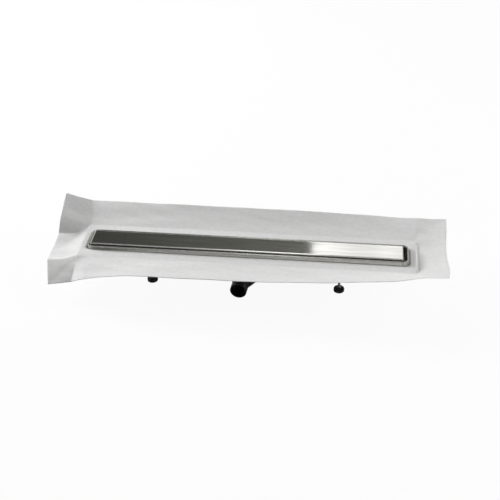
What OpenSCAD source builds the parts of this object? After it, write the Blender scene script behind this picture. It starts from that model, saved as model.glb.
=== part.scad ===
// Linear shower floor drain: a stainless channel with a solid cover plate, a bonded fleece
// sealing collar, a push-fit plastic trap with a horizontal outlet, and four levelling feet.
// The origin is on the ground under the middle of the channel. X runs along the channel,
// the outlet leaves towards -Y, and Z is up.

/* [Cover plate] */
// Length of the cover plate
cover_l = 950; // [800:10:1100]
// Width of the cover plate
cover_w = 70; // [64:1:76]
// Sheet thickness of the cover plate
cover_t = 1.5; // [1:0.1:2]
// Height of the folded edge
cover_skirt = 8; // [6:0.5:10]
// Outside radius of the folded edge
cover_bend = 2.5; // [2.2:0.1:4]
// How far the cover stands above the rim
cover_proud = 3.5; // [1:0.5:5]
// How far the loose cover lies towards the left end
cover_shift = 4; // [0:0.5:4]
// Width of the straps that carry the cover
strap_w = 20; // [14:1:26]
// Height of the rubber tips under the straps
tip_h = 5; // [4:0.5:7]

/* [Channel] */
// Inlet slot between the cover and each long side of the rim
slot_side = 5; // [4:0.5:7]
// Inlet slot at each end with the cover in the middle
slot_end = 6.5; // [5.5:0.5:10]
// Sheet thickness of the channel
steel_t = 1.5; // [1.2:0.1:2]
// Inside corner radius of the well
well_r = 12; // [8:1:16]
// Depth of the well below the flange at the outlet
well_depth = 28; // [24:1:32]
// Fall of the well floor from each end to the outlet, in percent
well_fall = 1; // [0.5:0.1:1.5]
// Height of the rim above the flange
rim_h = 11.5; // [9:0.5:14]
// Width of the flat top of the rim
rim_top = 5.5; // [4.5:0.5:8]
// How far the outer flank of the rim leans out
rim_lean = 3; // [1:0.5:5]
// Edge radius of the rim
rim_r = 2; // [1.8:0.1:2.2]
// Flange beyond the rim at each end
flange_end = 20; // [14:1:30]
// Flange beyond the rim at each long side
flange_side = 35.5; // [30:0.5:45]
// Room between the top of the spigot and the well floor
spigot_room = 5.5; // [5:0.5:12]
// Outside diameter of the outlet collar under the well
collar_d = 74; // [68:1:75]
// Length of the outlet collar below the well floor
collar_h = 18; // [14:1:20]

/* [Sealing collar] */
// Thickness of the fleece membrane
fleece_t = 1; // [0.6:0.1:2]
// Gap between the rim and the edge of the membrane
fleece_gap = 1.5; // [0.5:0.5:4]
// Loose flap beyond the flange at each end
flap_end = 96; // [70:2:120]
// Loose flap beyond the flange at each long side
flap_side = 106; // [80:2:130]

/* [Trap] */
// Outside diameter of the trap pot
pot_d = 120; // [110:1:128]
// Wall thickness of the trap
trap_wall = 2.5; // [2:0.1:3]
// Clearance between the pot and the ground
pot_lift = 4; // [2:0.5:6]
// Outside diameter of the outlet spigot
spigot_d = 50; // [40:1:50]
// Distance of the spigot end from the middle of the pot
spigot_reach = 136; // [125:1:150]
// Height of the outlet axis above the ground
spigot_z = 30; // [29:0.5:31]
// Where the flared neck meets the spigot, from the middle of the pot
neck_reach = 98; // [90:1:104]
// Half angle of the flared neck
neck_angle = 23; // [18:1:28]
// How far the outlet is turned towards the left
outlet_turn = 4.7; // [0:0.5:20]
// Depth of the water seal
seal_depth = 30; // [24:1:31]
// Gap between the dip tube and the floor of the pot
dip_gap = 5.5; // [5:0.5:8]
// Diameter of the holes in the hair strainer
strainer_hole = 3.4; // [2.5:0.1:4]

/* [Levelling feet] */
// Distance of the feet from each end of the well
foot_inset = 196.5; // [150:1:240]
// Distance of the feet from the middle line
foot_y = 65; // [60:1:72]
// Diameter of the foot pads
pad_d = 32; // [26:1:38]
// Height of the foot pads
pad_h = 9; // [7:0.5:12]
// Diameter of the threaded rods
rod_d = 7.8; // [5.8:0.2:9.8]
// Room left between the rods and the flange
rod_room = 8.5; // [6:0.5:12]
// Width across the flats of the hexagon nuts
nut_af = 13; // [12.5:0.5:17]
// Height of the hexagon nuts
nut_h = 6.5; // [4:0.5:8]
// Width of the cross bars
bar_w = 30; // [24:1:40]
// Thickness of the cross bars
bar_t = 3; // [2:0.5:4]

/* [Hidden] */
$fn = 96;
eps = 0.01;

// Heights: the trap stands low, and the channel sits as close above it as it can
spigot_r = spigot_d / 2;
well_z = spigot_z + spigot_r + spigot_room + steel_t;
flange_z = well_z + well_depth;

// Well and rim
well_l = cover_l + 2 * slot_end;
well_w = cover_w + 2 * slot_side;
rim_out = rim_top + rim_lean;
rim_z = flange_z + rim_h;
base_l = well_l + 2 * rim_out;
base_w = well_w + 2 * rim_out;
base_r = well_r + rim_out;
flange_l = base_l + 2 * flange_end;
flange_w = base_w + 2 * flange_side;
flange_r = 4;
flange_under = flange_z - steel_t;
bend_x = well_l / 2 - well_r;
sump_half = 60;
collar_r = collar_d / 2;
collar_bore = collar_r - steel_t;
collar_z = well_z - collar_h;

// Cover
cover_z = rim_z + cover_proud;
strap_inset = 13;
strap_x = [-0.84, -0.32, 0.32, 0.84] * cover_l / 2;
strap_leg = cover_w / 2 - strap_inset;
strap_t = 1.5;
tip_grip = 3;
tip_wall = 1.75;

// Trap
pot_r = pot_d / 2;
pot_z = pot_lift;
run = 0.5;
retainer_h = 3;
trap_top = well_z - steel_t - run;
lid_z = spigot_z + spigot_r + 0.5;
socket_r = collar_r + 10;
socket_z = collar_z + 3;
socket_bore = collar_r + run;
seal_r = collar_r + 6;
seal_z = trap_top - retainer_h - 5;
spigot_bore = spigot_r - trap_wall;
floor_z = pot_z + trap_wall;
dip_z = floor_z + dip_gap;
weir_z = dip_z + seal_depth;

// Trap insert and hair strainer
insert_r = collar_bore - 0.5;
insert_bore = insert_r - 4;
tube_r = insert_r - 2;
insert_flange = 2;
insert_top = well_z + insert_flange;
groove_d = 2.4;
groove_h = 3.2;
groove_z = well_z - 9;
strainer_r = insert_bore - 1.5;
strainer_t = 1;
strainer_depth = 12;
knob_r = 4;

// Feet
foot_x = well_l / 2 - foot_inset;
rod_r = rod_d / 2;
rod_sink = pad_h - 3;
rod_top = flange_under - rod_room;
nut_bore = rod_r + 0.1;
bar_hole = rod_r + 0.6;
bar_z = well_under(foot_x - bar_w / 2) - bar_t - 0.05;
bar_l = 2 * (foot_y + 16);
tab_h = 16;
feet = [["front_left", [-1, -1]], ["front_right", [1, -1]], ["back_left", [-1, 1]], ["back_right", [1, 1]]];

// Height of the inside of the well floor at a distance from the middle
function well_floor(x) = well_z + max(0, abs(x) - sump_half) * well_fall / 100;
function well_under(x) = well_floor(x) - steel_t;

module rounded_rect(l, w, r) {
    square([l - 2 * r, w], center = true);
    square([l, w - 2 * r], center = true);
    for (sx = [-1, 1], sy = [-1, 1])
        translate([sx * (l / 2 - r), sy * (w / 2 - r)]) circle(r);
}

// Sweeps a section along the back of a rounded rectangle: x in the section is the distance outwards
module side_sweep(l, w, r) {
    translate([-(l / 2 - r), w / 2, 0]) rotate([90, 0, 90]) linear_extrude(l - 2 * r) children();
}

// Sweeps it along the right end and round the two corners there
module end_sweep(l, w, r) {
    translate([l / 2, w / 2 - r, 0]) rotate([90, 0, 0]) linear_extrude(w - 2 * r) children();
    translate([l / 2 - r, w / 2 - r, 0]) rotate_extrude(angle = 90) translate([r, 0]) children();
    translate([l / 2 - r, -(w / 2 - r), 0]) rotate(-90)
        rotate_extrude(angle = 90) translate([r, 0]) children();
}

module ring_sweep(l, w, r) {
    for (turn = [0, 180]) rotate(turn) {
        side_sweep(l, w, r) children();
        end_sweep(l, w, r) children();
    }
}

// Cover plate: a flat sheet with its four edges folded down
module cover_plate() {
    inner_l = cover_l - 2 * cover_bend;
    inner_w = cover_w - 2 * cover_bend;
    color("lightsteelblue") translate([-cover_shift, 0, 0]) {
        translate([-inner_l / 2, -inner_w / 2, cover_z - cover_t]) cube([inner_l, inner_w, cover_t]);
        ring_sweep(inner_l, inner_w, 0) cover_edge();
    }
}

module cover_edge() {
    translate([0, cover_z - cover_bend]) intersection() {
        difference() {
            circle(cover_bend);
            circle(cover_bend - cover_t);
        }
        square(cover_bend);
    }
    translate([cover_bend - cover_t, cover_z - cover_skirt]) square([cover_t, cover_skirt - cover_bend]);
}

// Straps: bridges welded under the cover, which stand on the well floor
module cover_straps() {
    color("silver") for (x = strap_x) translate([x - cover_shift, 0, 0]) strap(x);
}

function tip_z(x) = well_floor(abs(x) + strap_w / 2 + cover_shift);

module strap(x) {
    foot = tip_z(x) + tip_h - tip_grip;
    top = cover_z - cover_t;
    rotate([90, 0, 90]) linear_extrude(strap_w, center = true) {
        translate([-strap_leg, top - strap_t]) square([2 * strap_leg, strap_t]);
        for (side = [-1, 1])
            translate([side * (strap_leg - strap_t / 2) - strap_t / 2, foot]) square([strap_t, top - foot]);
    }
}

// Tips: rubber shoes on the legs of the straps
module strap_tips() {
    color("dimgray") for (x = strap_x, side = [-1, 1])
        translate([x - cover_shift, side * (strap_leg - strap_t / 2), tip_z(x)]) strap_tip();
}

module strap_tip() {
    width = strap_t + 2 * tip_wall;
    difference() {
        translate([-strap_w / 2 - 1, -width / 2, 0]) cube([strap_w + 2, width, tip_h]);
        translate([-strap_w / 2, -strap_t / 2, tip_h - tip_grip]) cube([strap_w, strap_t, tip_h]);
    }
}

// Channel: the well with its raised rim, one sheet on the real part. It is given as long walls,
// ends, a sump and two falling floors that meet face to face. Side is 1 at the back or right.
module well_wall(side) {
    color("silver") difference() {
        rotate(side > 0 ? 0 : 180) side_sweep(well_l, well_w, well_r) wall_section();
        under_well();
    }
}

module well_end(side) {
    color("silver") difference() {
        rotate(side > 0 ? 0 : 180) end_sweep(well_l, well_w, well_r) wall_section();
        under_well();
    }
}

module well_sump() {
    color("silver") translate([0, 0, well_z - steel_t]) linear_extrude(steel_t) difference() {
        square([2 * sump_half, well_w], center = true);
        circle(collar_bore);
    }
}

module falling_floor(side) {
    far = well_l / 2 + 5;
    color("silver") intersection() {
        linear_extrude(flange_z) rounded_rect(well_l, well_w, well_r);
        rotate([90, 0, 0]) linear_extrude(well_w + 20, center = true) polygon([
            [side * sump_half, well_z - steel_t], [side * far, well_under(far)],
            [side * far, well_floor(far)], [side * sump_half, well_z]]);
    }
}

// Collar: the tube welded under the well floor, which the trap pushes onto
module outlet_collar() {
    color("silver") translate([0, 0, collar_z]) difference() {
        cylinder(h = well_z - steel_t - collar_z, r = collar_r);
        translate([0, 0, -1]) cylinder(h = collar_h + 2, r = collar_bore);
    }
}

// Section of the wall and rim: up from the floor, over the top and down the leaning flank
module wall_section() {
    low = well_z - steel_t - 1;
    r = rim_r - steel_t;
    polygon(concat([[0, low]], rim_bend(rim_r, true), rim_bend(rim_r, false), [[rim_out, flange_z],
        [rim_out, flange_under], [rim_out - rim_wall, flange_under]],
        rim_bend(r, false, true), rim_bend(r, true, true), [[steel_t, low]]));
}

// Points of one bend of the rim, given round the section or back along its inside
rim_draft = atan2(rim_lean, rim_h - rim_r);
rim_wall = steel_t / cos(rim_draft);
function rim_bend(r, inner, back = false) =
    let (n = 3, cx = inner ? rim_r : rim_top - rim_r, from = inner ? 180 : 90, to = inner ? 90 : rim_draft,
        points = [for (i = [0 : n]) let (a = from + (to - from) * i / n)
            [cx + r * cos(a), rim_z - rim_r + r * sin(a)]])
    back ? [for (i = [n : -1 : 0]) points[i]] : points;

// Clears what would hang below the sheet of the floor, seen from the long side
module under_well() {
    far = well_l / 2 + 20;
    rotate([90, 0, 0]) linear_extrude(well_w + 60, center = true) polygon([
        [-far, well_under(far)], [-sump_half, well_z - steel_t], [sump_half, well_z - steel_t],
        [far, well_under(far)], [far, well_z - 40], [-far, well_z - 40]]);
}

// Flange: flat plates welded round the foot of the rim, which carry the membrane
module flange_strip(side) {
    color("silver") translate([-bend_x, side > 0 ? base_w / 2 : -flange_w / 2, flange_under])
        cube([2 * bend_x, flange_side, steel_t]);
}

module flange_tab(side) {
    reach = flange_l / 2 - bend_x;
    color("silver") translate([0, 0, flange_under]) linear_extrude(steel_t) difference() {
        intersection() {
            rounded_rect(flange_l, flange_w, flange_r);
            translate([side * (bend_x + reach), 0]) square([2 * reach, flange_w + 10], center = true);
        }
        rounded_rect(base_l, base_w, base_r);
    }
}

// Membrane: flat where it is bonded to the flange, with loose flaps that lift and droop.
// Each corner of the flange carries a fan of the sheet, so the folds run out from there.
fleece_z = flange_z + fleece_t;
side_steps = 28;
end_steps = 10;
fan_steps = 8;
end_span = end_steps + 2 * fan_steps;
flap_steps = [0.06, 0.2, 0.4, 0.6, 0.8, 1];
sheet_x = flange_l / 2 + flap_end;
sheet_y = flange_w / 2 + flap_side;

// Loose edge of the sheet as [share of half length, share of half width, lift]
back_edge = [[0.85, 0.99, 14], [0.75, 0.99, 13.5], [0.58, 0.99, 18], [0.37, 0.985, 22],
    [-0.07, 0.985, 23], [-0.5, 0.985, 24], [-0.868, 0.985, 25]];
back_left = [[-0.868, 0.985, 25], [-0.93, 0.985, 32], [-1, 0.99, 44], [-0.993, 0.62, 25], [-0.985, 0.2, 11]];
left_edge = [[-0.985, 0.2, 11], [-0.972, -0.1, 13], [-0.962, -0.36, 13], [-0.955, -0.6, 10]];
front_left = [[-0.955, -0.6, 10], [-0.95, -0.8, -10], [-0.94, -1, -33], [-0.88, -1, -26], [-0.82, -0.99, -17]];
front_edge = [[-0.82, -0.99, -17], [-0.72, -0.99, -2], [-0.63, -0.99, 8], [-0.45, -0.99, 16],
    [-0.03, -0.99, 17], [0.36, -0.99, 28], [0.6, -0.98, 38], [0.735, -0.975, 46], [0.83, -0.965, 57]];
front_right = [[0.83, -0.965, 57], [0.88, -0.96, 63], [0.975, -0.955, 66], [0.985, -0.65, 48],
    [0.985, -0.3, 31]];
right_edge = [[0.985, -0.3, 31], [0.985, 0.05, 19], [0.99, 0.4, 13]];
back_right = [[0.99, 0.4, 13], [0.996, 0.7, 14], [0.998, 0.985, 18], [0.93, 0.985, 16], [0.85, 0.99, 14]];

// A smooth curve through the points of a list, at t from 0 to 1
function through(p, t) =
    let (last = len(p) - 1, at = min(t * last, last - 0.0001), i = floor(at), u = at - i,
        a = p[max(i - 1, 0)], b = p[i], c = p[i + 1], d = p[min(i + 2, last)])
    0.5 * (2 * b + (c - a) * u + (2 * a - 5 * b + 4 * c - d) * u * u + (3 * b - a - 3 * c + d) * u * u * u);
function edge_point(p, t) =
    let (q = through(p, t)) [q[0] * sheet_x, q[1] * sheet_y, fleece_z + q[2]];
function edge_run(p, n) = [for (i = [0 : n - 1]) edge_point(p, i / n)];

// Loops of the sheet run anticlockwise from the back right corner of the flange
outer_loop = concat(edge_run(back_edge, side_steps), edge_run(back_left, fan_steps),
    edge_run(left_edge, end_steps), edge_run(front_left, fan_steps), edge_run(front_edge, side_steps),
    edge_run(front_right, fan_steps), edge_run(right_edge, end_steps), edge_run(back_right, fan_steps));

// A rounded rectangle with as many points on each stretch as the loose edge has
function plan_loop(l, w, r) = concat(
    [for (i = [0 : side_steps - 1]) [(l / 2 - r) * (1 - 2 * i / side_steps), w / 2, fleece_z]],
    plan_arc(-(l / 2 - r), w / 2 - r, r, 90),
    [for (i = [0 : end_steps - 1]) [-l / 2, (w / 2 - r) * (1 - 2 * i / end_steps), fleece_z]],
    plan_arc(-(l / 2 - r), -(w / 2 - r), r, 180),
    [for (i = [0 : side_steps - 1]) [(l / 2 - r) * (2 * i / side_steps - 1), -w / 2, fleece_z]],
    plan_arc(l / 2 - r, -(w / 2 - r), r, 270),
    [for (i = [0 : end_steps - 1]) [l / 2, (w / 2 - r) * (2 * i / end_steps - 1), fleece_z]],
    plan_arc(l / 2 - r, w / 2 - r, r, 0));
function plan_arc(x, y, r, start) =
    [for (i = [0 : fan_steps - 1]) let (a = start + 90 * i / fan_steps) [x + r * cos(a), y + r * sin(a), fleece_z]];

// A loop between the flange and the loose edge: the lift starts gently past the flange
function flap_loop(a, b, t) = [for (i = [0 : len(a) - 1])
    let (p = a[i] + (b[i] - a[i]) * t) [p[0], p[1], a[i][2] + (b[i][2] - a[i][2]) * t * (0.35 + 0.65 * sqrt(t))]];

// The membrane is one cloth, given as four parts that meet face to face at the corners of the rim
module membrane(from, count) {
    cut = plan_loop(base_l + 2 * fleece_gap, base_w + 2 * fleece_gap, base_r + fleece_gap);
    bond = plan_loop(flange_l, flange_w, flange_r);
    loops = concat([cut, bond], [for (t = flap_steps) flap_loop(bond, outer_loop, t)]);
    color("whitesmoke") loop_sheet(loops, from, count, fleece_t);
}

// A sheet of a given thickness whose top passes through a stretch of nested loops, the innermost first
module loop_sheet(loops, from, count, t) {
    n = count + 1;
    m = len(loops);
    top = [for (loop = loops, i = [from : from + count]) loop[i % len(loop)]];
    under = [for (p = top) p - [0, 0, t]];
    lower = n * m;
    faces = concat(
        [for (j = [0 : m - 2], i = [0 : n - 2]) let (a = j * n + i, b = a + n) each
            [[a, b, a + 1], [a + 1, b, b + 1]]],
        [for (j = [0 : m - 2], i = [0 : n - 2]) let (a = lower + j * n + i, b = a + n) each
            [[a, a + 1, b], [a + 1, b + 1, b]]],
        [for (i = [0 : n - 2]) each [[i, i + 1, lower + i], [i + 1, lower + i + 1, lower + i]]],
        [for (i = [0 : n - 2]) let (a = (m - 1) * n + i) each
            [[a, lower + a, a + 1], [a + 1, lower + a, lower + a + 1]]],
        [for (j = [0 : m - 2]) let (a = j * n, b = a + n) each
            [[a, lower + a, b], [b, lower + a, lower + b]]],
        [for (j = [0 : m - 2]) let (a = j * n + n - 1, b = a + n) each
            [[a, b, lower + a], [b, lower + b, lower + a]]]);
    polyhedron(concat(top, under), faces);
}

// Trap body: the pot, the flared neck, the outlet spigot and the socket for the collar
module trap_body() {
    color([0.12, 0.12, 0.13]) difference() {
        union() {
            rotate_extrude() pot_outline();
            along_outlet(0) neck_cone(0);
            along_outlet(neck_reach - 1) spigot_skin();
        }
        rotate_extrude() pot_hollow();
        neck_hollow();
        along_outlet(neck_reach - 12) cylinder(h = spigot_reach, r = spigot_bore);
    }
}

// Turns a shape that points up into the outlet direction, starting at a distance from the pot axis
module along_outlet(start) {
    rotate([0, 0, -outlet_turn]) translate([0, -start, spigot_z]) rotate([90, 0, 0]) children();
}

module pot_outline() {
    fillet = 6;
    translate([0, pot_z]) square([pot_r - fillet, fillet]);
    translate([0, pot_z + fillet]) square([pot_r, lid_z - pot_z - 2 * fillet]);
    translate([0, lid_z - fillet]) square([pot_r - fillet, fillet]);
    for (z = [pot_z + fillet, lid_z - fillet]) translate([pot_r - fillet, z]) circle(fillet);
    translate([0, lid_z - 1]) square([socket_r, trap_top - retainer_h - lid_z + 1]);
}

module pot_hollow() {
    inner = pot_r - trap_wall;
    fillet = 3.5;
    ceiling = lid_z - trap_wall;
    translate([0, floor_z]) square([inner - fillet, fillet]);
    translate([0, floor_z + fillet]) square([inner, ceiling - floor_z - fillet]);
    translate([inner - fillet, floor_z + fillet]) circle(fillet);
    translate([0, floor_z]) square([socket_bore, trap_top]);
    translate([0, seal_z]) square([seal_r, trap_top]);
}

// Outer skin of the neck: a cone along the outlet, flattened above and below
module neck_cone(inset) {
    wide = spigot_r - inset + neck_reach * tan(neck_angle);
    half = spigot_r - inset;
    intersection() {
        cylinder(h = neck_reach, r1 = wide, r2 = half);
        translate([-wide, -half, neck_reach / 2]) cube([2 * wide, 2 * half, neck_reach / 2]);
    }
}

module spigot_skin() {
    chamfer = 1;
    straight = spigot_reach - neck_reach + 1 - chamfer;
    cylinder(h = straight, r = spigot_r);
    translate([0, 0, straight]) cylinder(h = chamfer, r1 = spigot_r, r2 = spigot_r - chamfer);
}

// The neck is hollow outside the pot wall, which stands as the weir up to the water level
module neck_hollow() {
    difference() {
        along_outlet(0) neck_cone(trap_wall);
        cylinder(h = weir_z, r = pot_r);
    }
}

module socket_seal() {
    color("dimgray") translate([0, 0, seal_z]) difference() {
        cylinder(h = trap_top - retainer_h - seal_z, r = seal_r);
        translate([0, 0, -1]) cylinder(h = 20, r = collar_r);
    }
}

module seal_retainer() {
    color([0.16, 0.16, 0.17]) translate([0, 0, trap_top - retainer_h]) difference() {
        cylinder(h = retainer_h, r = socket_r);
        translate([0, 0, -1]) cylinder(h = 20, r = socket_bore);
    }
}

// Insert: the dip tube that hangs in the collar and makes the water seal
module trap_insert() {
    color([0.85, 0.85, 0.83]) rotate_extrude() difference() {
        union() {
            translate([insert_bore, well_z]) square([collar_bore + 2.5 - insert_bore, insert_flange]);
            translate([insert_bore, groove_z - 4]) square([insert_r - insert_bore, well_z - groove_z + 4]);
            translate([insert_bore, dip_z]) square([tube_r - insert_bore, well_z - dip_z]);
        }
        translate([insert_r - groove_d, groove_z]) square([groove_d + 1, groove_h]);
    }
}

module insert_o_ring() {
    round_r = 0.8;
    inner = insert_r - groove_d;
    width = collar_bore - inner;
    color([0.1, 0.1, 0.1]) rotate_extrude() translate([inner + width / 2, groove_z + groove_h / 2])
        rounded_rect(width, groove_h, round_r);
}

// Strainer: a perforated cup with a lifting knob, which hangs in the insert
module hair_strainer() {
    cup_z = insert_top - strainer_depth;
    rings = [[6, 8], [12, 14], [18, 20]];
    color("silver") difference() {
        union() {
            translate([0, 0, cup_z]) cylinder(h = strainer_depth, r = strainer_r);
            translate([0, 0, insert_top]) cylinder(h = strainer_t, r = insert_bore + 2.5);
        }
        difference() {
            translate([0, 0, cup_z + strainer_t]) cylinder(h = 50, r = strainer_r - strainer_t);
            cylinder(h = insert_top + 6, r = knob_r / 2);
            translate([0, 0, insert_top + 4]) cylinder(h = 3, r = knob_r);
        }
        for (ring = rings, i = [1 : ring[0]]) rotate(i * 360 / ring[0])
            translate([ring[1], 0, cup_z - 1]) cylinder(h = 3, d = strainer_hole, $fn = 24);
        for (i = [1 : 16]) rotate(i * 360 / 16)
            translate([strainer_r - 3, -1.5, cup_z + 3]) cube([6, 3, strainer_depth - 6]);
        translate([0, 0, insert_top + 7]) cylinder(h = 60, r = strainer_r);
    }
}

// Cross bar: a strip under the well with two tabs welded to its walls
module cross_bar(side) {
    wall = well_w / 2 + steel_t;
    color("gainsboro") translate([side * foot_x, 0, 0]) difference() {
        union() {
            translate([-bar_w / 2, -bar_l / 2, bar_z]) cube([bar_w, bar_l, bar_t]);
            for (y = [-wall - bar_t, wall]) translate([-bar_w / 2, y, bar_z]) cube([bar_w, bar_t, tab_h]);
        }
        for (y = [-foot_y, foot_y]) translate([0, y, bar_z - 1]) cylinder(h = bar_t + 2, r = bar_hole);
    }
}

module hex_nut() {
    difference() {
        intersection() {
            cylinder(h = nut_h, d = nut_af / cos(30), $fn = 6);
            translate([0, 0, -eps]) cylinder(h = nut_h * 1.6, r1 = nut_af * 0.72, r2 = nut_af * 0.42);
        }
        translate([0, 0, -1]) cylinder(h = nut_h + 2, r = nut_bore);
    }
}

module at_foot(corner) {
    translate([corner[0] * foot_x, corner[1] * foot_y, 0]) children();
}

module bar_top_nuts() {
    color("silver") for (foot = feet) at_foot(foot[1]) translate([0, 0, bar_z + bar_t]) hex_nut();
}

module bar_lower_nuts() {
    color("silver") for (foot = feet) at_foot(foot[1]) translate([0, 0, bar_z]) mirror([0, 0, 1]) hex_nut();
}

module foot_rod(corner) {
    chamfer = 0.8;
    base = pad_h - rod_sink;
    color("silver") at_foot(corner) {
        translate([0, 0, base]) cylinder(h = rod_top - base - chamfer, r = rod_r);
        translate([0, 0, rod_top - chamfer]) cylinder(h = chamfer, r1 = rod_r, r2 = rod_r - chamfer);
    }
}

module foot_nut(corner) {
    color("gainsboro") at_foot(corner) translate([0, 0, pad_h]) hex_nut();
}

// Foot pad: a moulded disc with a rounded upper edge and a socket for the rod
module foot_pad(corner) {
    edge = 2;
    color([0.1, 0.1, 0.1]) at_foot(corner) rotate_extrude() {
        difference() {
            union() {
                square([pad_d / 2, pad_h - edge]);
                square([pad_d / 2 - edge, pad_h]);
                translate([pad_d / 2 - edge, pad_h - edge]) circle(edge);
            }
            translate([-1, pad_h - rod_sink]) square([rod_r + 1, pad_h]);
        }
    }
}

cover_plate();
cover_straps();
strap_tips();
well_wall(-1);  // well_wall_front
well_wall(1);  // well_wall_back
well_end(-1);  // well_end_left
well_end(1);  // well_end_right
well_sump();
falling_floor(-1);  // well_floor_left
falling_floor(1);  // well_floor_right
outlet_collar();
flange_strip(-1);  // flange_front
flange_strip(1);  // flange_back
flange_tab(-1);  // flange_left
flange_tab(1);  // flange_right
membrane(side_steps + end_span, side_steps);  // membrane_front
membrane(0, side_steps);  // membrane_back
membrane(side_steps, end_span);  // membrane_left
membrane(2 * side_steps + end_span, end_span);  // membrane_right
trap_body();
socket_seal();
seal_retainer();
trap_insert();
insert_o_ring();
hair_strainer();
cross_bar(-1);  // cross_bar_left
cross_bar(1);  // cross_bar_right
bar_top_nuts();
bar_lower_nuts();
for (foot = feet) {
    foot_rod(foot[1]);
    foot_nut(foot[1]);
    foot_pad(foot[1]);
}
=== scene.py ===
# Linear shower drain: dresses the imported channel, cover, trap and feet, cuts the threads of the foot rods,
# and lays the fleece sheet over the flange.
import math

import bmesh
import bpy
from mathutils import Matrix, Vector, noise


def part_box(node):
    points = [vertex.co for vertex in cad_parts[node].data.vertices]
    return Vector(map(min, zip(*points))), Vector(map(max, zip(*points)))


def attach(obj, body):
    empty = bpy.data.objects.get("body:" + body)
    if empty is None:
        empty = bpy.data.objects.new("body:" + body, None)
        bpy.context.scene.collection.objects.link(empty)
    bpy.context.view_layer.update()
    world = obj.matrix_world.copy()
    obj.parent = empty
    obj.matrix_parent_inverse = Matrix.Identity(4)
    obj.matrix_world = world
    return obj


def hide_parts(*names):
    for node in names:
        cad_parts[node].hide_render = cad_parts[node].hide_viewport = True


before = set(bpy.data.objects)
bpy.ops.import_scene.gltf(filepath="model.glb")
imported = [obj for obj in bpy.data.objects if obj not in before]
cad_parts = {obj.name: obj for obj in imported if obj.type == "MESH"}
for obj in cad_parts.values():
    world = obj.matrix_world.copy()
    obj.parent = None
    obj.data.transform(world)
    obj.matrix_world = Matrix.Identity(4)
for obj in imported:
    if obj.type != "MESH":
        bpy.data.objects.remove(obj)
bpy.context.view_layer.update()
MM = 0.001
WHITE = "#FFFFFF"

# Camera, fitted to the corners of the cover and the rim in the photograph: its place in metres, the
# directions to its right and away from it, and its lens
CAMERA_PLACE = (0.31175, -2.35381, 1.79117)
CAMERA_RIGHT = (0.99326, 0.11452, -0.01785)
CAMERA_AWAY = (-0.10334, 0.80529, -0.58380)
FOCAL_PIXELS = 960
PHOTO_PIXELS = 500
SENSOR_MM = 36.0

# Softboxes in metres and watts: name, place, width and height, power. All aim at one point over the ground.
LAMP_TARGET = (0, 0, 0.1)
LAMPS = (
    ("left_softbox", (-3.4, 1.5, 1.5), (1.8, 1.6), 195),
    ("right_fill", (3.3, 0.2, 1.6), (1.4, 1.4), 70),
    ("back_softbox", (-0.4, 2.6, 3.0), (1.4, 1.4), 32),
)

# Cards that only shiny parts mirror, in metres: name, middle, the way it faces, width and height, its
# strength at places along X, and its colour. The cover mirrors the first two, dark on the left and bright on
# the right. The two top cards light its front fold, and the near one is weak, so that the cover stays grey
# from above. The others are what the rim and the channel mirror, dull so that their flanks stay grey. The
# bright far left of two back cards lights the left end of the rim.
CARDS = (
    ("dark_card", (-2.022, 3.0, 2.3), (0, -1, 0), (4.156, 2.6),
     ((-2.2, 1.3), (-1.95, 1.3), (-1.72, 0.068), (-1.49, 0.068), (0.04, 0.168)), "#FCFFF4"),
    ("bright_card", (0.978, 3.0, 2.4), (0, -1, 0), (1.844, 2.4),
     ((0.13, 1.48), (0.36, 1.21), (0.45, 1.21), (0.57, 1.5), (0.8, 1.2)), WHITE),
    ("far_top_card", (-0.1, 1.18, 3.2), (0, 0, -1), (3.6, 1.64),
     ((-1.6, 0.12), (-0.75, 0.2), (-0.5, 1.3), (-0.35, 3.9), (0.05, 3.9), (0.16, 0.3), (1.6, 0.3)),
     WHITE),
    ("near_top_card", (-0.1, -0.52, 3.2), (0, 0, -1), (3.6, 1.76),
     ((-1.6, 0.12), (-0.75, 0.2), (-0.5, 0.6), (-0.35, 0.95), (0.05, 0.95), (0.16, 0.3), (1.6, 0.3)),
     WHITE),
    ("low_back_card", (0.0, 3.0, 0.5), (0, -1, 0), (7.0, 1.1),
     ((-2.3, 1.3), (-2.0, 0.06), (3.4, 0.1)), WHITE),
    ("front_card", (0.0, -4.2, 1.2), (0, 1, 0), (7.0, 3.4), ((-3.0, 0.1), (3.0, 0.16)), WHITE),
    ("left_card", (-3.9, 0.0, 1.4), (1, 0, 0), (5.0, 2.8), ((-4.0, 0.08), (-3.8, 0.08)), WHITE),
    ("right_card", (3.9, 0.0, 1.4), (-1, 0, 0), (5.0, 2.8), ((3.8, 0.35), (4.0, 0.35)), WHITE),
)
# Soft unevenness of the cards: its size in mm, and the share by which they are weaker or stronger
CARD_CLOUD_MM = (500, 500, 130)
CARD_UNEVEN = 0.14

# Floor, just below the feet and nearly all plain white to the camera, and the faint fill of the world
FLOOR_DROP = 0.2 * MM
FLOOR_SIDE = 14
FLOOR_WHITE_SHARE = 0.94
FILL_STRENGTH = 0.03

# Threads of the foot rods in mm: an 8 mm coarse thread, with a chamfer at its top. Then steps per turn
THREAD_PITCH = 1.25
THREAD_DEPTH = 0.6
ROD_CHAMFER = 0.8
THREAD_STEPS = 24

# Fleece sheet in mm: its thickness, the gap between the rim's foot and the cut-out, the corner radii of the
# cut-out and of the bond on the flange, and how far the sheet is pressed down along the edge of the flange
FLEECE_THICK = 1.0
RIM_GAP = 1.5
CUT_OUT_R = 22.0
BOND_R = 4.0
EDGE_DIP = 0.5
# Swell of the cloth as (mm across, mm along, height in mm), on the bond and twice on the flaps
BOND_SWELL = (30, 60, 0.25)
BROAD_SWELL = (60, 150, 2.2)
SMALL_SWELL = (34, 70, 1.1)
SWELL_SEED = 3.7
# Mesh of the sheet: points along each kind of flap, and rows from the cut-out outwards
STEPS = {"side": 130, "end": 40, "fan": 26}
BOND_ROWS = 5
FLAP_ROWS = 26

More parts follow.
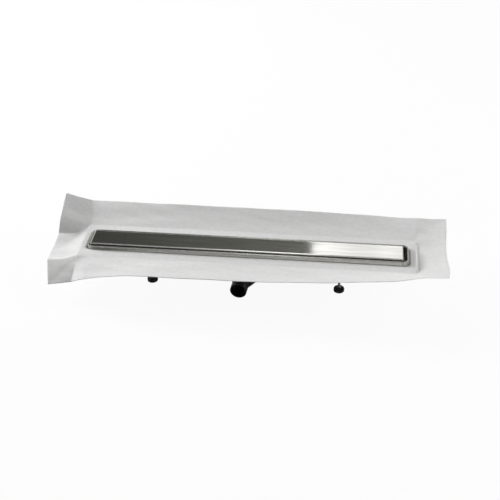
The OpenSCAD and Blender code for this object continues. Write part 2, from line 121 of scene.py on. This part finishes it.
# Half length and half width of the sheet as it lies, in mm
LOOSE_HALF_L = 606
LOOSE_HALF_W = 190
# Loose flaps of the sheet, anticlockwise from the back right. Each has its kind, its cut edge
# as (share of the half length, share of the half width, lift in mm), and its line halfway out as
# (x, y, lift) in mm.
FLAPS = (
    # Back
    ("side",
     ((0.85, 0.99, 15.5), (0.75, 0.99, 13.5), (0.58, 0.99, 18), (0.37, 0.985, 22), (-0.07, 0.985, 23),
      (-0.5, 0.985, 24), (-0.868, 0.985, 25)),
     ((513, 136, 7.5), (340, 136, 7), (0, 136, 9.5), (-518, 136, 10))),
    # Back left corner, standing up in a sharp pleat
    ("fan",
     ((-0.868, 0.985, 25), (-0.934, 0.968, 37), (-1.002, 0.95, 52), (-0.993, 0.55, 35), (-0.992, 0.35, 17),
      (-0.99, 0.18, -6)),
     ((-518, 136, 12), (-558, 134, 26), (-556, 90, 21), (-546, 60, 9.5), (-537, 39, -2))),
    # Left end
    ("end",
     ((-0.99, 0.18, -6), (-0.99, 0, -12), (-0.993, -0.26, -15), (-0.99, -0.49, -13)),
     ((-537, 39, -2), (-552, 0, -9.5), (-552, -50, -10), (-550, -92, -8.5))),
    # Front left corner, hanging down
    ("fan",
     ((-0.99, -0.49, -13), (-0.972, -0.71, -28), (-0.954, -0.922, -44), (-0.894, -0.91, -39),
      (-0.835, -0.897, -34)),
     ((-550, -92, -8.5), (-547, -114, -16.5), (-541, -130, -23), (-524, -130, -21), (-507, -128, -17.5))),
    # Front
    ("side",
     ((-0.835, -0.897, -34), (-0.76, -0.975, -9), (-0.63, -0.99, 8), (-0.45, -0.99, 16), (-0.03, -0.99, 17),
      (0.36, -0.99, 28), (0.6, -0.98, 38), (0.735, -0.975, 46), (0.83, -0.965, 57)),
     ((-507, -128, -17.5), (-464, -136, -2.5), (-382, -137, 4), (-270, -137, 7), (0, -137, 7),
      (220, -137, 12), (364, -136, 17), (445, -135, 21), (508, -134, 26))),
    # Front right corner, lifted
    ("fan",
     ((0.83, -0.965, 57), (0.88, -0.96, 63), (0.975, -0.955, 66), (0.985, -0.65, 48), (0.985, -0.3, 31)),
     ((508, -134, 26), (545, -134, 30), (560, -120, 28), (550, -95, 14), (524, -60, -3))),
    # Right end, dipping beside the flange
    ("end",
     ((0.985, -0.3, 31), (0.985, 0.05, 19), (0.99, 0.4, 13)),
     ((524, -60, -3), (524, 0, -3.5), (524, 50, -2))),
    # Back right corner
    ("fan",
     ((0.99, 0.4, 13), (0.996, 0.7, 14), (0.998, 0.985, 17), (0.93, 0.985, 15), (0.85, 0.99, 15.5)),
     ((524, 50, -2), (545, 90, 3), (556, 136, 7), (530, 136, 6), (513, 136, 7.5))),
)

# Noise stays mostly between these two values
SPREAD = {"From Min": 0.3, "From Max": 0.7}


def linear(hex_colour):
    """sRGB hex to the linear colour that a shader takes."""
    parts = [int(hex_colour[i:i + 2], 16) / 255 for i in (1, 3, 5)]
    return [c / 12.92 if c <= 0.04045 else ((c + 0.055) / 1.055) ** 2.4 for c in parts] + [1.0]


def add(tree, kind, inputs=None, **settings):
    """Adds a node with its settings. An input is a value, a socket or a node, for its first output."""
    made = tree.nodes.new(kind)
    for name, value in settings.items():
        setattr(made, name, value)
    for name, value in (inputs or {}).items():
        if isinstance(value, bpy.types.Node):
            value = value.outputs[0]
        if isinstance(value, bpy.types.NodeSocket):
            tree.links.new(value, made.inputs[name])
        else:
            made.inputs[name].default_value = value
    return made


def start_material(name):
    """An empty material and its node tree."""
    material = bpy.data.materials.new(name)
    material.use_nodes = True
    material.node_tree.nodes.clear()
    return material, material.node_tree


def grain(tree, size_mm, detail=2.0, rough=0.5):
    """Noise whose lumps measure size_mm along X, Y and Z."""
    place = add(tree, "ShaderNodeTexCoord").outputs["Object"]
    scaled = add(tree, "ShaderNodeMapping", {"Vector": place, "Scale": [1 / (s * MM) for s in size_mm]})
    return add(tree, "ShaderNodeTexNoise", {"Vector": scaled, "Scale": 1.0, "Detail": detail,
                                            "Roughness": rough})


def two_tones(tree, pattern, first, second, low=0.3, high=0.7, most=1.0):
    """Colour that goes from the first towards the second, by the share most, as a pattern rises from low to
    high. The sockets of a colour mix go by number: 0 share, 6 and 7 colours, 2 result."""
    share = add(tree, "ShaderNodeMapRange", {"Value": pattern, "From Min": low, "From Max": high,
                                             "To Max": most})
    return add(tree, "ShaderNodeMix", {0: share, 6: first, 7: second}, data_type="RGBA").outputs[2]


# Stainless sheet, ground lengthwise and then polished: a mirror drawn out along its fine grain.
def polished_stainless():
    material, tree = start_material("polished_stainless")
    # The grinding lines are 0.05 mm apart on the real sheet, drawn here at 0.7 mm so that they show.
    lines = grain(tree, (120, 0.7, 0.7), 3.0)
    # The polishing wheel leaves patches as wide as itself, 25 mm.
    patches = grain(tree, (60, 25, 25))
    # Hands and cloths leave long faint streaks, about a centimetre wide.
    streaks = grain(tree, (170, 13, 13), 3.0)
    tone = two_tones(tree, lines, linear("#D3D2CE"), linear("#E0DFDC"))
    tone = two_tones(tree, streaks, tone, linear("#CCCBC7"), 0.36, 0.64)
    dull = add(tree, "ShaderNodeMapRange", {"Value": patches, **SPREAD, "To Min": 0.06, "To Max": 0.1})
    # The folded edges catch light along a soft round.
    fold = add(tree, "ShaderNodeBevel", {"Radius": 5.0 * MM}, samples=8)
    bump = add(tree, "ShaderNodeBump", {"Height": lines, "Strength": 0.12, "Distance": 0.02 * MM,
                                        "Normal": fold})
    steel = add(tree, "ShaderNodeBsdfPrincipled", {"Base Color": tone, "Metallic": 1.0, "Roughness": dull,
                                                   "Anisotropic": 0.35, "Normal": bump})
    add(tree, "ShaderNodeOutputMaterial", {"Surface": steel})
    return material


# Stainless sheet as rolled and pickled, on the channel: softer, with a fine dull cloud.
def rolled_stainless():
    material, tree = start_material("rolled_stainless")
    # Pickling leaves blotches of 9 mm, drawn out by the rolls.
    blotches = grain(tree, (18, 9, 9), 4.0)
    # The rolling lines are 0.1 mm apart on the real sheet, drawn here at 0.9 mm so that they show.
    lines = grain(tree, (60, 0.9, 0.9))
    tone = two_tones(tree, blotches, linear("#ABAAA5"), linear("#BCBBB6"))
    dull = add(tree, "ShaderNodeMapRange", {"Value": blotches, **SPREAD, "To Min": 0.16, "To Max": 0.24})
    fold = add(tree, "ShaderNodeBevel", {"Radius": 6.0 * MM}, samples=6)
    bump = add(tree, "ShaderNodeBump", {"Height": lines, "Strength": 0.15, "Distance": 0.03 * MM,
                                        "Normal": fold})
    steel = add(tree, "ShaderNodeBsdfPrincipled", {"Base Color": tone, "Metallic": 1.0, "Roughness": dull,
                                                   "Normal": bump})
    add(tree, "ShaderNodeOutputMaterial", {"Surface": steel})
    return material


# Zinc-plated steel on nuts and rods: grey, with a soft blotchy spangle of about 2 mm.
def zinc_plate():
    material, tree = start_material("zinc_plated_steel")
    spangle = grain(tree, (2.2, 2.2, 2.2), 3.0)
    tone = two_tones(tree, spangle, linear("#8F9193"), linear("#B4B6B6"), 0.35, 0.65)
    dull = add(tree, "ShaderNodeMapRange", {"Value": spangle, **SPREAD, "To Min": 0.28, "To Max": 0.42})
    plate = add(tree, "ShaderNodeBsdfPrincipled", {"Base Color": tone, "Metallic": 1.0, "Roughness": dull})
    add(tree, "ShaderNodeOutputMaterial", {"Surface": plate})
    return material


# Injection-moulded polypropylene: an even satin skin with the fine pits of a spark-eroded mould.
def moulded_plastic(name, dark, light):
    material, tree = start_material(name)
    # The pits measure 0.4 mm on the real part, drawn here at 0.8 mm so that they show.
    pits = grain(tree, (0.8, 0.8, 0.8))
    # The melt cools in faint clouds of some 30 mm.
    flow = grain(tree, (30, 30, 14))
    tone = two_tones(tree, flow, linear(dark), linear(light))
    dull = add(tree, "ShaderNodeMapRange", {"Value": flow, **SPREAD, "To Min": 0.37, "To Max": 0.49})
    bump = add(tree, "ShaderNodeBump", {"Height": pits, "Strength": 0.25, "Distance": 0.05 * MM})
    skin = add(tree, "ShaderNodeBsdfPrincipled", {"Base Color": tone, "IOR": 1.49, "Roughness": dull,
                                                  "Normal": bump})
    add(tree, "ShaderNodeOutputMaterial", {"Surface": skin})
    return material


# Moulded rubber: dull black with a dusty bloom in patches of 6 mm.
def moulded_rubber():
    material, tree = start_material("moulded_rubber")
    bloom = grain(tree, (6, 6, 6), 4.0)
    tone = two_tones(tree, bloom, linear("#191919"), linear("#2B2A29"), 0.35, 0.7)
    dull = add(tree, "ShaderNodeMapRange", {"Value": bloom, **SPREAD, "To Min": 0.6, "To Max": 0.8})
    skin = add(tree, "ShaderNodeBsdfPrincipled", {"Base Color": tone, "IOR": 1.52, "Roughness": dull})
    add(tree, "ShaderNodeOutputMaterial", {"Surface": skin})
    return material


# Needled polypropylene fleece: matt off-white, mottled where the fibres bunch, with a soft felted surface.
def needled_fleece():
    material, tree = start_material("needled_fleece")
    # The fibres are 0.03 mm thick, drawn as 1.2 mm tangles so that they show. The bunches measure 9 mm.
    fibres = grain(tree, (1.2, 1.2, 1.2), 4.0, 0.7)
    bunches = grain(tree, (14, 9, 9), 3.0)
    # Handling leaves shallow dents, two to three centimetres wide.
    dents = grain(tree, (30, 22, 22))
    tone = two_tones(tree, bunches, linear("#E1E1E0"), linear("#E9E9E9"), 0.35, 0.68)
    tone = two_tones(tree, fibres, tone, linear("#D6D6D5"), 0.3, 0.75, 0.45)
    dented = add(tree, "ShaderNodeBump", {"Height": dents, "Strength": 0.35, "Distance": 1.2 * MM})
    felted = add(tree, "ShaderNodeBump", {"Height": fibres, "Strength": 0.4, "Distance": 0.25 * MM,
                                          "Normal": dented})
    cloth = add(tree, "ShaderNodeBsdfPrincipled", {"Base Color": tone, "Roughness": 0.95, "IOR": 1.45,
                                                   "Sheen Weight": 0.15, "Sheen Roughness": 0.6,
                                                   "Normal": felted})
    add(tree, "ShaderNodeOutputMaterial", {"Surface": cloth})
    return material


# Photograph's view: a 69 mm lens about three metres off, 36 degrees down and a little to the right.
def take_camera():
    away = Vector(CAMERA_AWAY).normalized()
    up = Vector(CAMERA_RIGHT).normalized().cross(away).normalized()
    right = away.cross(up)
    data = bpy.data.cameras.new("photo_camera")
    data.sensor_width = SENSOR_MM
    data.lens = FOCAL_PIXELS / PHOTO_PIXELS * SENSOR_MM
    camera = bpy.data.objects.new("photo_camera", data)
    turn = Matrix((right, up, -away)).transposed().to_4x4()
    camera.matrix_world = Matrix.Translation(CAMERA_PLACE) @ turn
    bpy.context.collection.objects.link(camera)
    bpy.context.scene.camera = camera


def finish_mesh(name, bm, smooth=False):
    """Turns a bmesh into an object of the scene."""
    mesh = bpy.data.meshes.new(name)
    bm.to_mesh(mesh)
    bm.free()
    piece = bpy.data.objects.new(name, mesh)
    bpy.context.collection.objects.link(piece)
    if smooth:
        mesh.shade_smooth()
    return piece


def flat_card(name, middle, faces, size):
    """A plane of the given width and height that faces one way."""
    bm = bmesh.new()
    bmesh.ops.create_grid(bm, x_segments=1, y_segments=1, size=0.5)
    bmesh.ops.scale(bm, vec=(*size, 1), verts=bm.verts)
    turn = Vector(faces).to_track_quat("Z", "Y").to_matrix().to_4x4()
    bmesh.ops.transform(bm, matrix=Matrix.Translation(middle) @ turn, verts=bm.verts)
    return finish_mesh(name, bm)


def white_world():
    """White to the camera, to mirrors and to glass, and only a faint fill to everything else."""
    world = bpy.data.worlds.new("studio")
    bpy.context.scene.world = world
    world.use_nodes = True
    tree = world.node_tree
    tree.nodes.clear()
    path = add(tree, "ShaderNodeLightPath").outputs
    seen = add(tree, "ShaderNodeMath", {0: path["Is Camera Ray"], 1: path["Is Glossy Ray"]},
               operation="MAXIMUM")
    seen = add(tree, "ShaderNodeMath", {0: seen, 1: path["Is Transmission Ray"]}, operation="MAXIMUM")
    fill = add(tree, "ShaderNodeBackground", {"Color": linear(WHITE), "Strength": FILL_STRENGTH})
    white = add(tree, "ShaderNodeBackground", {"Color": linear(WHITE), "Strength": 1.0})
    mixed = add(tree, "ShaderNodeMixShader", {0: seen, 1: fill, 2: white})
    add(tree, "ShaderNodeOutputWorld", {"Surface": mixed})


def paper_floor():
    """White paper under the part, which keeps a faint soft shadow."""
    floor = flat_card("floor", (0, 0, -FLOOR_DROP), (0, 0, 1), (FLOOR_SIDE, FLOOR_SIDE))
    material, tree = start_material("white_paper")
    paper = add(tree, "ShaderNodeBsdfDiffuse", {"Color": linear("#F4F4F4")})
    glow = add(tree, "ShaderNodeEmission", {"Color": linear(WHITE), "Strength": 1.0})
    seen = add(tree, "ShaderNodeLightPath").outputs["Is Camera Ray"]
    share = add(tree, "ShaderNodeMath", {0: seen, 1: FLOOR_WHITE_SHARE}, operation="MULTIPLY")
    mixed = add(tree, "ShaderNodeMixShader", {0: share, 1: paper, 2: glow})
    add(tree, "ShaderNodeOutputMaterial", {"Surface": mixed})
    floor.data.materials.append(material)


def mirror_card(name, middle, faces, size, stops, colour):
    """A card that only mirrors show, with a glow that changes along X, given as (x, strength)."""
    card = flat_card(name, middle, faces, size)
    material, tree = start_material(name)
    first, last = stops[0][0], stops[-1][0]
    most = max(strength for _, strength in stops)
    place = add(tree, "ShaderNodeSeparateXYZ", {0: add(tree, "ShaderNodeTexCoord").outputs["Object"]})
    share = add(tree, "ShaderNodeMapRange", {"Value": place.outputs["X"], "From Min": first,
                                             "From Max": last})
    ramp = add(tree, "ShaderNodeValToRGB", {"Fac": share})
    points = ramp.color_ramp.elements
    while len(points) < len(stops):
        points.new(0.5)
    for point, (x, strength) in zip(points, stops):
        point.position = (x - first) / (last - first)
        point.color = [c * strength / most for c in linear(colour)[:3]] + [1]
    cloud = grain(tree, CARD_CLOUD_MM, 3.0)
    weak, strong = (1 - CARD_UNEVEN) * most, (1 + CARD_UNEVEN) * most
    glow = add(tree, "ShaderNodeMapRange", {"Value": cloud, **SPREAD, "To Min": weak, "To Max": strong})
    light = add(tree, "ShaderNodeEmission", {"Color": ramp, "Strength": glow})
    add(tree, "ShaderNodeOutputMaterial", {"Surface": light})
    card.data.materials.append(material)
    card.visible_camera = card.visible_diffuse = card.visible_shadow = False
    card.visible_transmission = False


def softbox(name, place, size, power):
    """A lamp that mirrors don't show, since the cards are there for them."""
    data = bpy.data.lights.new(name, "AREA")
    data.shape = "RECTANGLE"
    data.size, data.size_y = size
    data.energy = power
    lamp = bpy.data.objects.new(name, data)
    lamp.location = place
    lamp.rotation_euler = (Vector(LAMP_TARGET) - Vector(place)).to_track_quat("-Z", "Y").to_euler()
    lamp.visible_glossy = False
    bpy.context.collection.objects.link(lamp)


def studio():
    bpy.context.scene.view_settings.view_transform = "Standard"
    white_world()
    paper_floor()
    for card in CARDS:
        mirror_card(*card)
    for lamp in LAMPS:
        softbox(*lamp)


# Fleece sheet
def through(points, t):
    """A smooth curve through the points, at t from 0 to 1."""
    last = len(points) - 1
    at = min(t * last, last - 1e-6)
    i = int(at)
    u = at - i
    near = points[max(i - 1, 0)], points[i], points[i + 1], points[min(i + 2, last)]
    return [0.5 * (2 * b + (c - a) * u + (2 * a - 5 * b + 4 * c - d) * u * u
                   + (3 * b - a - 3 * c + d) * u ** 3) for a, b, c, d in zip(*near)]


def loose_edge(kind, points, t):
    """The cut edge of the sheet, with a sharp corner halfway round each fan."""
    if kind != "fan":
        return through(points, t)
    corner = max(range(len(points)), key=lambda i: abs(points[i][0]) + abs(points[i][1]))
    return through(points[:corner + 1], 2 * t) if t < 0.5 else through(points[corner:], 2 * t - 1)


def plan_point(stretch, t, half_l, half_w, r):
    """A point of a rounded rectangle, t along one of its eight stretches, which run round from the back."""
    side, is_corner = divmod(stretch, 2)
    if is_corner:
        turn = math.radians((90, 180, 270, 0)[side] + 90 * t)
        sx, sy = ((-1, 1), (-1, -1), (1, -1), (1, 1))[side]
        return sx * (half_l - r) + r * math.cos(turn), sy * (half_w - r) + r * math.sin(turn)
    x = (half_l - r) * (1 - 2 * t)
    y = (half_w - r) * (1 - 2 * t)
    return ((x, half_w), (-half_l, y), (-x, -half_w), (half_l, -y))[side]


def ripple(x, y, across, along, height):
    """Soft swell of a sheet, the same at every run."""
    return noise.noise(Vector((x / along, y / across, SWELL_SEED))) * height


def sheet_point(stretch, t, row, cut_out, flange, top):
    """A point of the sheet in mm: flat on the flange, then out along a loose flap."""
    kind, edge, middles = FLAPS[stretch]
    along = t
    if kind == "side":
        # The rows of a long flap run straight across it.
        along = (through(middles, t)[0] - middles[0][0]) / (middles[-1][0] - middles[0][0])
    cut = plan_point(stretch, along, *cut_out)
    bond = plan_point(stretch, along, *flange)
    if row <= BOND_ROWS:
        x, y = [a + (b - a) * row / BOND_ROWS for a, b in zip(cut, bond)]
        dip = EDGE_DIP if row == BOND_ROWS else 0
        return x, y, top - dip + ripple(x, y, *BOND_SWELL)
    out = (row - BOND_ROWS) / FLAP_ROWS
    share_l, share_w, lift = loose_edge(kind, edge, t)
    path = (*bond, -EDGE_DIP), through(middles, t), (share_l * LOOSE_HALF_L, share_w * LOOSE_HALF_W, lift)
    x, y, z = through(path, out)
    # The swell starts at the bond and is full a third of the way out.
    loose = min(1.0, out * 3)
    return x, y, top + z + loose * (ripple(x, y, *BROAD_SWELL) + ripple(x + 2 * y, y, *SMALL_SWELL))


def sealing_sheet():
    stretches = [(k, i / STEPS[flap[0]]) for k, flap in enumerate(FLAPS) for i in range(STEPS[flap[0]])]
    around = len(stretches)
    rows = BOND_ROWS + FLAP_ROWS
    half_l, half_w, flange_top = [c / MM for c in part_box("flange_right")[1]]
    flange = half_l, half_w, BOND_R
    rim_l, rim_w = [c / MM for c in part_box("well_end_right")[1][:2]]
    cut_out = rim_l + RIM_GAP, rim_w + RIM_GAP, CUT_OUT_R
    bm = bmesh.new()
    bmesh.ops.create_grid(bm, x_segments=around, y_segments=rows, size=0.5)
    for vert in bm.verts:
        i = round((vert.co.x + 0.5) * around) % around
        row = round((vert.co.y + 0.5) * rows)
        vert.co = Vector(sheet_point(*stretches[i], row, cut_out, flange, flange_top + FLEECE_THICK)) * MM
    bmesh.ops.remove_doubles(bm, verts=bm.verts, dist=0.01 * MM)
    bmesh.ops.recalc_face_normals(bm, faces=bm.faces)
    if sum(face.normal.z for face in bm.faces) < 0:
        bmesh.ops.reverse_faces(bm, faces=bm.faces)
    sheet = finish_mesh("fleece_sheet", bm, smooth=True)
    thick = sheet.modifiers.new("thickness", "SOLIDIFY")
    thick.thickness = FLEECE_THICK * MM
    thick.offset = -1
    sheet.data.materials.append(needled_fleece())
    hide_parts(*["membrane_" + side for side in ("front", "back", "left", "right")])
    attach(sheet, "drain")


# Threaded rods of the feet
def threaded_rod(name, material):
    low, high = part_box(name)
    crest = (high[0] - low[0]) / 2
    root = crest - THREAD_DEPTH * MM
    pitch = THREAD_PITCH * MM
    turns = int((high[2] - low[2]) / pitch) + 3
    start = low[2] - pitch * 1.5
    bm = bmesh.new()
    before = None
    for i in range(2 * turns + 1):
        vert = bm.verts.new((crest if i % 2 else root, 0, start + i * pitch / 2))
        if before:
            bm.edges.new((before, vert))
        before = vert
    bmesh.ops.spin(bm, geom=bm.verts[:] + bm.edges[:], cent=(0, 0, 0), axis=(0, 0, 1),
                   dvec=(0, 0, pitch / THREAD_STEPS), angle=math.tau, steps=THREAD_STEPS, use_merge=False)
    bmesh.ops.remove_doubles(bm, verts=bm.verts, dist=0.005 * MM)
    for height, up in ((low[2], -1), (high[2], 1)):
        cut = bmesh.ops.bisect_plane(bm, geom=bm.verts[:] + bm.edges[:] + bm.faces[:], dist=1e-7,
                                     plane_co=(0, 0, height), plane_no=(0, 0, up), clear_outer=True)
        rim = [e for e in cut["geom_cut"] if isinstance(e, bmesh.types.BMEdge)]
        bmesh.ops.holes_fill(bm, edges=rim, sides=0)
    chamfer_foot = high[2] - ROD_CHAMFER * MM
    for vert in bm.verts:
        limit = crest - (vert.co.z - chamfer_foot)
        r = math.hypot(vert.co.x, vert.co.y)
        if vert.co.z > chamfer_foot and r > limit:
            vert.co.x *= limit / r
            vert.co.y *= limit / r
    middle = ((low[0] + high[0]) / 2, (low[1] + high[1]) / 2, 0)
    bmesh.ops.translate(bm, vec=middle, verts=bm.verts)
    bmesh.ops.recalc_face_normals(bm, faces=bm.faces)
    rod = finish_mesh(name.replace("foot_rod", "threaded_rod"), bm)
    rod.data.materials.append(material)
    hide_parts(name)
    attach(rod, name.replace("foot_rod", "foot"))


def dress_parts():
    zinc = zinc_plate()
    black = moulded_plastic("black_polypropylene", "#242424", "#2E2E2E")
    grey = moulded_plastic("light_grey_polypropylene", "#C9C9C4", "#D2D2CE")
    rolled = rolled_stainless()
    polished = polished_stainless()
    rubber = moulded_rubber()
    by_name = {"cover_plate": polished, "trap_insert": grey, "trap_body": black, "seal_retainer": black,
               "strap_tips": rubber, "socket_seal": rubber, "insert_o_ring": rubber,
               "bar_top_nuts": zinc, "bar_lower_nuts": zinc}
    for name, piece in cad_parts.items():
        if name.startswith("membrane"):
            continue
        if name.startswith("foot_pad"):
            material = black
        elif name.startswith("foot"):
            material = zinc
        else:
            material = by_name.get(name, rolled)
        piece.data.materials.clear()
        piece.data.materials.append(material)
    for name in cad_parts:
        if name.startswith("foot_rod"):
            threaded_rod(name, zinc)


take_camera()
studio()
dress_parts()
sealing_sheet()
